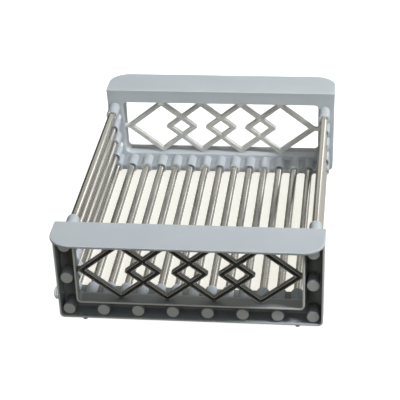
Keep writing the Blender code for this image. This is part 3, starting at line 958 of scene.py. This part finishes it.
@dataclass(frozen=True)
class Lattice:
    """The row of overlapping diamonds in the window, whose strips have a groove on their outer side."""

    box: BoxSection
    count: int = 4
    pitch: float = 0.0428
    half_width: float = 0.0354
    drop: float = 0.0005
    strip_width: float = 0.0044
    strip_depth: float = 0.0056
    flange: float = 0.0006
    web: float = 0.0016
    setback: float = 0.0048
    bite: float = 0.0006
    tab_height: float = 0.0036
    tab_width: float = 0.0060
    hollow_radius: float = 0.0005
    tip_radius: float = 0.0013
    face_edge: float = 0.0006
    flange_edge: float = 0.0002
    groove_edge: float = 0.0003
    # Painted highlight on the flanges' tops.
    flange_highlight: float = 0.9
    corner_steps: int = 5
    edge_steps: int = 3

    @property
    def centre(self) -> float:
        """Height of the lattice's middle."""
        return (self.box.window_top + self.box.window_foot) / 2 - self.drop

    @property
    def half_height(self) -> float:
        """Half height of a diamond on its centre line."""
        reach = self.centre - self.box.window_foot + self.bite
        return reach - self.strip_width / 2 / math.cos(math.atan2(reach, self.half_width))

    @property
    def inner(self) -> float:
        """Place along Y of the strips' plain side."""
        return self.box.face - self.setback

    @property
    def outer(self) -> float:
        """Place along Y of the strips' grooved side."""
        return self.inner - self.strip_depth

    @property
    def groove_floor(self) -> float:
        """Place along Y of the groove's floor."""
        return self.inner - self.web

    @property
    def middles(self) -> list[float]:
        """Where the diamonds' middles stand along X."""
        first = -self.pitch * (self.count - 1) / 2
        return [first + self.pitch * number for number in range(self.count)]

    def cells(self) -> list[Corners]:
        """Centre lines round every open cell, and round the whole row, each with its open side on the left.

        Returns:
            Loops of (x, height from the lattice's middle).
        """
        wide, tall, step = self.half_width, self.half_height, self.pitch / 2
        cross = tall * (1 - step / wide)
        crossed, plain = [(step, -cross), (self.pitch - wide, 0.0), (step, cross)], [(wide, 0.0)]
        middles = self.middles
        loops: list[Corners] = []
        for number, x in enumerate(middles):
            right = crossed if number < self.count - 1 else plain
            left = crossed if number > 0 else plain
            loop = [(0.0, -tall), *right, (0.0, tall), *((-across, -up) for across, up in left)]
            loops.append([(x + across, up) for across, up in loop])
        for x in middles[:-1]:
            between = x + step
            loops.append([(between, -cross), (x + wide, 0.0), (between, cross), (x + self.pitch - wide, 0.0)])
        upper = [point for x in middles[:-1] for point in ((x, tall), (x + step, cross))]
        lower = [(x, -z) for x, z in reversed(upper)]
        first, last = middles[0], middles[-1]
        loops.append([(first - wide, 0.0), *upper, (last, tall), (last + wide, 0.0), (last, -tall), *lower])
        return loops

    def cell_shell(self, loop: Corners, section: Outline) -> Shell:
        """Half the strip round one cell.

        The strip's edge is the centre line moved to the open side by half the strip's width, with round
        corners. A point of the section at a depth from that edge lies on the straight line from the edge to
        the corner of the centre line, at the same share of the way.

        Args:
            loop: Corners of the centre line, with the open cell on the left.
            section: Depth from the strip's edge and place along Y.

        Returns:
            The surface from the groove's middle, round the edge, to the middle of the plain side.
        """
        corner = np.array(loop)
        ahead = unit(np.roll(corner, -1, 0) - corner)
        left = np.stack([-ahead[:, 1], ahead[:, 0]], -1)
        before = np.roll(left, 1, 0)
        half = self.strip_width / 2
        mitre = half * (left + before) / (1 + (left * before).sum(-1, keepdims=True))
        behind = np.roll(ahead, 1, 0)
        convex = behind[:, 0] * ahead[:, 1] - behind[:, 1] * ahead[:, 0] > 0
        radius = np.where(convex, self.hollow_radius, self.tip_radius)
        edge = rounded(corner + mitre, radius, self.corner_steps, closed=True).points
        spine = np.repeat(corner, len(edge) // len(corner), 0)
        depth, y = section.points[:, :1], section.points[:, 1:]
        flat = spine + (edge - spine) * (1 - depth[..., None] / half)
        inside = (depth > self.flange * INSIDE_SHARE) & (y < self.groove_floor + MERGE)
        deepened = way(y, self.outer, self.groove_floor)
        # Painted shade on the side faces, lighter towards the plain side, or a painted highlight below 0;
        # painted shade deepens into the groove.
        side = self.box.look.lattice_shade * (0.5 + (self.inner - y) / self.strip_depth / 2)
        shade = np.where(inside, deepened, np.where(depth < MERGE, side, 0.0))
        shade = painted_lip_highlight(shade, y, self.outer, self.flange_edge, self.flange_highlight)
        return grid(lifted(flat, y) + np.array([0.0, 0.0, self.centre]), shade=shade)

    def tabs(self) -> list[Shell]:
        """The stubs that join the lattice to the window's sides and to the fascia.

        Returns:
            Two at the sides, and one above each diamond.
        """
        # The tabs take the same painted shade or highlight as the strips' sides.
        box, edge, shade = self.box, self.flange_edge, self.box.look.lattice_shade
        reach, side = self.middles[-1] + self.half_width, box.window_half_width + self.bite
        start, end = self.outer + self.flange, self.inner - GUARD
        low, high = self.centre - self.tab_height / 2, self.centre + self.tab_height / 2
        foot, top = self.centre + self.half_height, box.window_top + box.face_wall
        half = self.tab_width / 2
        spans = [((left, start, low), (right, end, high)) for left, right in ((-side, -reach), (reach, side))]
        spans += [((x - half, start, foot), (x + half, box.root, top)) for x in self.middles]
        return [round_box(corner, other, edge, shade) for corner, other in spans]

    def shell(self) -> Shell:
        """The whole lattice with its tabs.

        Returns:
            The surface, in the end's own axes.
        """
        half, flange, floor = self.strip_width / 2, self.flange, self.groove_floor
        groove = [(half, floor), (flange, floor), (flange, self.outer)]
        corners = [*groove, (0.0, self.outer), (0.0, self.inner), (half, self.inner)]
        radii = [self.groove_edge, self.flange_edge, self.flange_edge, self.face_edge]
        section = rounded(corners, radii, self.edge_steps)
        return joined([*(self.cell_shell(loop, section) for loop in self.cells()), *self.tabs()])


@dataclass(frozen=True)
class Sockets:
    """The sockets on the inner face, the ridges between them, and the pegs in the hollow."""

    box: BoxSection
    holds_rod: bool
    # Painted light on the recesses' walls, and a painted highlight on the pegs' ends.
    recess_painted_light: float = 0.80
    peg_end_highlight: float = 0.55
    diameter: float = 0.0118
    floor_reach: float = 0.0201
    side_reach: float = 0.0304
    side_start: float = 0.0109
    side_seat_wall: float = 0.0015
    neck_diameter: float = 0.0084
    ridge_above: float = 0.0024
    ridge_below: float = 0.0034
    ridge_setback: float = 0.0005
    recess_diameter: float = 0.0092
    recess_depth: float = 0.0090
    peg_diameter: float = 0.0114
    peg_setback: float = 0.0015
    peg_end_wall: float = 0.0024
    tube_diameter: float = 0.0076
    rod_diameter: float = 0.0058
    clearance: float = 0.0003
    rim_edge: float = 0.0006
    mouth_edge: float = 0.0003
    peg_edge: float = 0.0005
    ridge_edge: float = 0.0012
    sides: int = 40
    edge_steps: int = 3

    @property
    def peg_end(self) -> float:
        """Place along Y of the pegs' ends."""
        return self.box.lip + self.peg_setback

    def lathe(self, corners: Corners, radii: Sequence[float], places: Array, shaded_to: float = 0.0) -> Shell:
        """A turned form at each of several places.

        Args:
            corners: Radius and place along Y of the sharp corners of its profile.
            radii: Radius of each corner between the ends.
            places: Where its copies stand, as (x, 0, z) rows.
            shaded_to: How far along Y its side takes painted shade, darker from the end of the pegs.

        Returns:
            All the copies.
        """
        profile = rounded(corners, radii, self.edge_steps)
        end = self.peg_end
        radius, y = profile.points.T
        # Painted shade down the pegs' sides, a painted highlight on their ends, and painted light on the
        # recesses' walls.
        down = np.clip(way(y, end, self.box.channel_floor), 0, 1)
        peg = np.where(y < end + MERGE, -self.peg_end_highlight, np.where(y < shaded_to + MERGE, down, 0.0))
        recess = (y > shaded_to) & (radius < self.recess_diameter / 2 + MERGE)
        return turned(profile, self.sides, np.where(recess, -self.recess_painted_light, peg)).copied(places)

    def tight(self, reach: float, start: float, floor: float, places: Array) -> Shell:
        """Sockets that hold a tube: a plain cylinder with a bore as wide as the tube.

        Args:
            reach: Place along Y of the rim.
            start: Place along Y of the closed end.
            floor: Place along Y of the bore's floor.
            places: Where they stand, as (x, 0, z) rows.

        Returns:
            All of them.
        """
        outer, bore = self.diameter / 2, self.tube_diameter / 2 + self.clearance
        corners = [(0.0, start), (outer, start), (outer, reach), (bore, reach), (bore, floor), (0.0, floor)]
        return self.lathe(corners, [self.mouth_edge, self.rim_edge, self.mouth_edge, 0.0], places)

    def wide(self, reach: float, start: float, stem: float, places: Array) -> Shell:
        """Sockets that hold a rod: a wide recess, a thin bore, and a closed peg behind the face.

        Args:
            reach: Place along Y of the rim.
            start: Place along Y where the stem from the face ends.
            stem: Radius of the stem.
            places: Where they stand, as (x, 0, z) rows.

        Returns:
            All of them.
        """
        outer, recess = self.diameter / 2, self.recess_diameter / 2
        peg, bore = self.peg_diameter / 2, self.rod_diameter / 2 + self.clearance
        end, root, step = self.peg_end, self.box.root, reach - self.recess_depth
        floor = end + self.peg_end_wall
        corners = [
            (0.0, end), (peg, end), (peg, root), (stem, root), (stem, start), (outer, start),
            (outer, reach), (recess, reach), (recess, step), (bore, step), (bore, floor), (0.0, floor),
        ]
        radii = [self.peg_edge, 0.0, 0.0, 0.0, self.mouth_edge, self.rim_edge, self.mouth_edge, 0.0, 0.0, 0.0]
        return self.lathe(corners, radii, places, root)

    def ridges(self) -> list[Shell]:
        """The flat ridges that join the sockets of each row.

        Returns:
            One in the floor, and an upper and a lower one at each side.
        """
        tray, root, above = self.box.tray, self.box.root, self.ridge_above
        edge, shade = self.ridge_edge, self.box.look.ridge_shade
        rod, half_width, pitch = tray.floor_rod_height, tray.half_width, tray.side_pitch
        floor_end = self.box.face + self.floor_reach - self.ridge_setback
        side_end = self.box.face + self.side_reach - self.ridge_setback
        low, high = (-half_width, root, rod - self.ridge_below), (half_width, floor_end, rod + above)
        # The floor ridge and the upper side ridges take the end's painted shade; the lower side ridges take
        # none.
        made = [round_box(low, high, edge, shade)]
        narrow, short_end = above - self.clearance, floor_end - self.clearance
        for x in (-half_width, half_width):
            low, high = (x - above, root, rod + pitch / 2), (x + above, side_end, tray.top_rod_height)
            made.append(round_box(low, high, edge, shade))
            low, high = (x - narrow, root, rod), (x + narrow, short_end, rod + pitch * 2 / 3)
            made.append(round_box(low, high, edge))
        return made

    def shell(self) -> Shell:
        """All the sockets, pegs and ridges of one end.

        Returns:
            The surface, in the end's own axes.
        """
        tray, face, root = self.box.tray, self.box.face, self.box.root
        floor_rim, side_rim = face + self.floor_reach, face + self.side_reach
        side_root = face + self.side_start
        rods, tubes = self.holds_rod, not self.holds_rod
        return joined([
            self.tight(floor_rim, root, face + self.clearance, tray.floor_places(tubes)),
            self.tight(side_rim, side_root, side_root + self.side_seat_wall, tray.side_places(tubes)),
            self.wide(floor_rim, root + GUARD, self.diameter / 2 - GUARD, tray.floor_places(rods)),
            self.wide(side_rim, side_root, self.neck_diameter / 2, tray.side_places(rods)),
            *self.ridges(),
        ])


@dataclass(frozen=True)
class End:
    """One moulded end frame."""

    side: Side
    holds_rod: bool
    look: EndLook
    tray: Tray = field(default_factory=Tray)
    plate: TopPlate = field(default_factory=TopPlate)

    def build(
        self, plastic: bpy.types.Material, sockets_painted_light_plastic: bpy.types.Material, warm_plastic: bpy.types.Material
    ) -> None:
        """Builds and dresses the frame's pieces.

        Args:
            plastic: Finish of the plate and the box section.
            sockets_painted_light_plastic: Finish of the sockets, the frame's plastic with a painted tone for
                how light falls on them.
            warm_plastic: Finish of the lattice.
        """
        box = BoxSection(self.tray, self.plate, self.look)
        shells = {
            "top_plate": (self.plate.shell(), plastic),
            "box_section": (box.shell(), plastic),
            "fascia": (box.fascia(), plastic),
            "lattice": (Lattice(box).shell(), warm_plastic),
            "sockets": (Sockets(box, self.holds_rod).shell(), sockets_painted_light_plastic),
        }
        prefix = self.side.value
        for name, (shell, material) in shells.items():
            placed = self.side.placed(shell)
            make_piece(f"{prefix}_{name}", placed, material, f"{prefix}_end_frame")


class RodKind(Enum):
    """Outer tubes, and the thinner rods that slide in them."""

    TUBE = "tube"
    ROD = "rod"


@dataclass(frozen=True)
class Rods:
    """The telescoping steel rods of the tray."""

    tube_diameter: float = 0.0076
    rod_diameter: float = 0.0058
    wall: float = 0.0004
    rim: float = 0.00012
    sides: int = 48
    edge_steps: int = 2

    def build(self, kind: RodKind, steel: bpy.types.Material) -> None:
        """Builds every rod of one kind in the place of its solid.

        Args:
            kind: Which rods.
            steel: Their finish.
        """
        outer = (self.tube_diameter if kind is RodKind.TUBE else self.rod_diameter) / 2
        bore = outer - self.wall
        for node in (name for name in frame["nodes"] if name.startswith(f"{kind.value}_")):
            low, high = np.array(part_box(node))
            corners = [(bore, low[1]), (outer, low[1]), (outer, high[1]), (bore, high[1])]
            profile = rounded(corners, self.rim, self.edge_steps, closed=True)
            profile = replace(profile, points=np.concatenate([profile.points, profile.points[:1]]))
            axis = (low + high)[None] / 2 * np.array([1.0, 0.0, 1.0])
            shell = turned(profile, self.sides).copied(axis)
            make_piece(f"steel_{node}", shell, steel, node)


@dataclass(frozen=True)
class Foot:
    """A small round foot on a stem."""

    radius: float = 0.0023
    height: float = 0.0026
    stem: float = 0.0011
    wall: float = 0.0018
    sole_edge: float = 0.0009
    head_edge: float = 0.0004
    sides: int = 32
    edge_steps: int = 4

    def build(self, node: str, rubber: bpy.types.Material) -> None:
        """Builds the foot in the place of its solid.

        Args:
            node: Name of the solid.
            rubber: Its finish.
        """
        low, high = np.array(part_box(node))
        radius, stem, head, top = self.radius, self.stem, self.height - GUARD, self.height + self.wall
        corners = [(0.0, 0.0), (radius, 0.0), (radius, head), (stem, head), (stem, top), (0.0, top)]
        profile = rounded(corners, [self.sole_edge, self.head_edge, 0.0, self.head_edge / 2], self.edge_steps)
        shell = turned(profile, self.sides)
        upright = shell.points[:, [0, 2, 1]] + np.array([*(low + high)[:2] / 2, low[2]])
        make_piece(f"soft_{node}", replace(shell, points=upright), rubber, node)


@dataclass(frozen=True)
class SideKnob:
    """The clear bumper on a side wall: a stem, a flange, a waist, a bead and a small crown."""

    radius: float = 0.0064
    thickness: float = 0.0050
    wall: float = 0.0018
    stem: float = 0.0016
    stem_tip: float = 0.0008
    gap: float = 0.0003
    flange_top: float = 0.0016
    waist: float = 0.0050
    waist_height: float = 0.0021
    bead: float = 0.0060
    bead_height: float = 0.0030
    shoulder: float = 0.0056
    shoulder_height: float = 0.0040
    crown: float = 0.0044
    crown_foot: float = 0.0042
    edges: tuple[float, ...] = (0.0003, 0.0, 0.0004, 0.0005, 0.0004, 0.0004, 0.0005, 0.0003, 0.0006)
    sides: int = 48
    edge_steps: int = 5

    def build(self, node: str, clear: bpy.types.Material) -> None:
        """Builds the bumper in the place of its solid, with its head away from the rack's middle.

        Args:
            node: Name of the solid.
            clear: Its finish.
        """
        low, high = np.array(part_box(node))
        outwards, tip = (1.0, high[0]) if low[0] + high[0] > 0 else (-1.0, low[0])
        inner_end, top = -self.wall - self.stem_tip, self.thickness
        corners = [
            (0.0, inner_end), (self.stem, inner_end), (self.stem, self.gap), (self.radius, self.gap),
            (self.radius, self.flange_top), (self.waist, self.waist_height), (self.bead, self.bead_height),
            (self.shoulder, self.shoulder_height), (self.crown, self.crown_foot), (self.crown, top),
            (0.0, top),
        ]
        shell = turned(rounded(corners, self.edges, self.edge_steps), self.sides)
        round_x, along, round_z = shell.points.T
        middle = (low + high) / 2
        points = np.stack([tip + outwards * (along - top), round_x + middle[1], round_z + middle[2]], -1)
        make_piece(f"clear_{node}", replace(shell, points=points), clear, node)


@dataclass(frozen=True)
class SoftLight:
    """An area lamp that looks at a point."""

    name: str
    place: Triple
    target: Triple
    width: float
    length: float
    power: float
    colour: Triple = (1.0, 1.0, 1.0)
    spread: float = 180.0
    lights_matt: bool = True

    def build(self) -> None:
        """Makes the lamp. One that lights nothing matt is seen in the steel alone."""
        lamp = bpy.data.lights.new(self.name, "AREA")
        lamp.shape = "RECTANGLE"
        lamp.size, lamp.size_y = self.width, self.length
        lamp.energy = self.power
        lamp.color = self.colour
        lamp.spread = math.radians(self.spread)
        made = linked(self.name, lamp)
        made.visible_camera = False
        made.visible_diffuse = self.lights_matt
        made.location = self.place
        x, y, z = np.array(self.target) - np.array(self.place)
        made.rotation_euler = Euler((math.atan2(math.hypot(x, y), -z), 0.0, math.atan2(-x, y)))


@dataclass(frozen=True)
class Studio:
    """Camera, floor, backdrop light and lamps.

    Each ramp is the slope and the start of a colour's share over one direction.
    """

    camera_place: Triple = (0.15221, -1.19036, 0.73379)
    camera_turn: Triple = (59.9795, 1.9730, 6.4034)
    lens: float = 124.94
    sensor: float = 36.0
    clips: tuple[float, float] = (0.01, 50.0)
    floor_half: float = 8.0
    floor_grain: float = 3.0
    floor_roughness: float = 0.9
    # Half size and edge sharpness of the painted shadow under the rack.
    shade_half: tuple[float, float] = (0.125, 0.150)
    shade_edge: float = 60.0
    grey_floor: Triple = (0.30, 0.31, 0.34)
    pale_grey_floor: Triple = (0.32, 0.33, 0.36)
    bright_floor: Triple = (0.99, 0.985, 0.98)
    # Glow of the floor inside the painted shadow.
    shaded_floor: Triple = (0.835, 0.815, 0.735)
    low_room: Triple = (0.18, 0.175, 0.155)
    front_room: Triple = (0.325, 0.32, 0.285)
    high_room: Triple = (0.165, 0.17, 0.18)
    back_room: Triple = (0.36, 0.355, 0.32)
    side_room: Triple = (0.80, 0.79, 0.76)
    left_room: Triple = (0.09, 0.087, 0.075)
    high_ramp: Weights = (1.4, 0.0)
    low_ramp: Weights = (-4.0, 0.0)
    side_ramp: Weights = (5.0, -1.0)
    left_ramp: Weights = (-6.0, -1.6)
    back_ramp: Weights = (3.0, -1.2)

    def build(self) -> None:
        """Makes everything round the rack."""
        self.make_camera()
        self.make_floor()
        self.make_backdrop()
        middle, warm, warmer, cool = (0.0, 0.0, 0.05), (1.0, 0.99, 0.96), (1.0, 0.98, 0.90), (0.97, 0.99, 1.0)
        for lamp in (
            SoftLight("right_softbox", (1.5, -0.40, 1.85), (0.0, 0.0, 0.03), 0.5, 0.5, 53.0, cool),
            SoftLight("front_softbox", (0.10, -0.70, 0.62), (0.0, 0.137, 0.06), 0.6, 0.12, 0.155, warm, 26.0),
            SoftLight("back_right_strip", (0.95, 1.9, 0.60), middle, 0.24, 0.8, 1.0),
            SoftLight("back_card", (-0.15, 2.0, 0.6), middle, 1.3, 1.2, 1.7, warmer, lights_matt=False),
        ):
            lamp.build()
        bpy.context.scene.view_settings.view_transform = "Standard"

    def make_camera(self) -> None:
        """Makes the camera, placed so that the rack fills the frame as the photograph shows it."""
        data = bpy.data.cameras.new("camera")
        data.lens = self.lens
        data.sensor_width = self.sensor
        data.clip_start, data.clip_end = self.clips
        camera = linked("camera", data)
        camera.location = self.camera_place
        camera.rotation_euler = Euler([math.radians(angle) for angle in self.camera_turn])
        bpy.context.scene.camera = camera

    def make_floor(self) -> None:
        """Makes a pale floor that glows a little, so shadows on it stay faint, with a painted warm shadow
        under the rack.
        """
        half = self.floor_half
        mesh = bpy.data.meshes.new("floor")
        corners = [(-half, -half, 0.0), (half, -half, 0.0), (half, half, 0.0), (-half, half, 0.0)]
        mesh.from_pydata(corners, [], [(0, 1, 2, 3)])
        floor = linked("floor", mesh)
        sheet = Sheet(bpy.data.materials.new("floor"))
        across, along, _ = sheet.place().axes()
        # A soft patch round the rack where the floor's glow is a painted shadow.
        across_share = ((self.shade_half[0] - across.size()) * self.shade_edge).clamped()
        along_share = ((self.shade_half[1] - along.size()) * self.shade_edge).clamped()
        grain = sheet.noise(sheet.place(), self.floor_grain)
        sheet.dress(
            Base_Color=sheet.blend(grain, self.grey_floor, self.pale_grey_floor),
            Roughness=self.floor_roughness,
            Specular_IOR_Level=0.0,
            Emission_Color=sheet.blend(across_share * along_share, self.bright_floor, self.shaded_floor),
            Emission_Strength=1.0,
        )
        mesh.materials.append(sheet.owner)
        floor.visible_glossy = False
        floor.visible_diffuse = False

    def make_backdrop(self) -> None:
        """Makes the light of the room: a colour above, in front, below and behind, and two more behind.

        The share of the colour above grows with the height of the direction, that of the one below with its
        depth, and that of the back with how far it points along +Y, where the rods mirror it. The back grows
        bright with how far it points along +X, and dark with how far it points along -X.
        """
        world = bpy.data.worlds.new("room")
        bpy.context.scene.world = world
        sheet = Sheet(world, "Background")
        across, along, upwards = sheet.node("ShaderNodeTexCoord", {}, {}, "Generated").axes()
        low = mixed(self.low_ramp, upwards)
        above = sheet.blend(mixed(self.high_ramp, upwards), self.front_room, self.high_room)
        low_back = sheet.blend(low, self.back_room, self.low_room)
        right_back = sheet.blend(mixed(self.side_ramp, across), low_back, self.side_room)
        back = sheet.blend(mixed(self.left_ramp, across), right_back, self.left_room)
        front = sheet.blend(low, above, self.low_room)
        sheet.dress(Color=sheet.blend(mixed(self.back_ramp, along), front, back))


def write_sizes() -> None:
    """Brings the view layer up to date."""
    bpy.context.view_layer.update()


def main() -> None:
    """Builds and dresses the rack, and sets the studio up round it."""
    logging.basicConfig(level=logging.INFO, format="%(message)s")
    plastics = (
        MouldedPlastic("moulded_grey", (0.500, 0.540, 0.570), (0.450, 0.490, 0.525), 0.46).material(),
        # The sockets' copy of the same plastic: its slightly darker colour is a painted tone for how light
        # falls on them, and it is glossier.
        MouldedPlastic("moulded_sockets", (0.488, 0.528, 0.562), (0.448, 0.488, 0.522), 0.38).material(),
        MouldedPlastic("moulded_lattice", (0.520, 0.520, 0.490), (0.470, 0.470, 0.445), 0.42).material(),
    )
    near_look = EndLook(
        lattice_shade=0.84, ridge_shade=0.84, sill_shaded_to=0.0385, side_share=1.0, window_lean=0.0026
    )
    far_look = EndLook(
        lattice_shade=-0.5, ridge_shade=0.33, sill_shaded_to=0.0310, side_share=0.0, window_lean=0.0004
    )
    End(Side.NEAR, False, near_look).build(*plastics)
    End(Side.FAR, True, far_look).build(*plastics)
    tube_steel = DrawnSteel("drawn_tube", (0.73, 0.72, 0.69), (0.61, 0.595, 0.56), 0.20).material()
    rod_steel = DrawnSteel("drawn_rod", (0.78, 0.775, 0.75), (0.68, 0.67, 0.64), 0.17).material()
    Rods().build(RodKind.TUBE, tube_steel)
    Rods().build(RodKind.ROD, rod_steel)
    rubber = SoftRubber("foot_rubber_skin", (0.26, 0.28, 0.29), (0.36, 0.38, 0.39), 0.6).material()
    clear = ClearSoftPlastic("clear_bumper", (0.97, 0.98, 0.98), (0.86, 0.88, 0.88), 0.12).material()
    for side in Side:
        for hand in ("left", "right"):
            Foot().build(f"{side.value}_foot_{hand}", rubber)
    SideKnob().build("near_side_knob", clear)
    Studio().build()
    write_sizes()


if __name__ == "__main__":
    main()
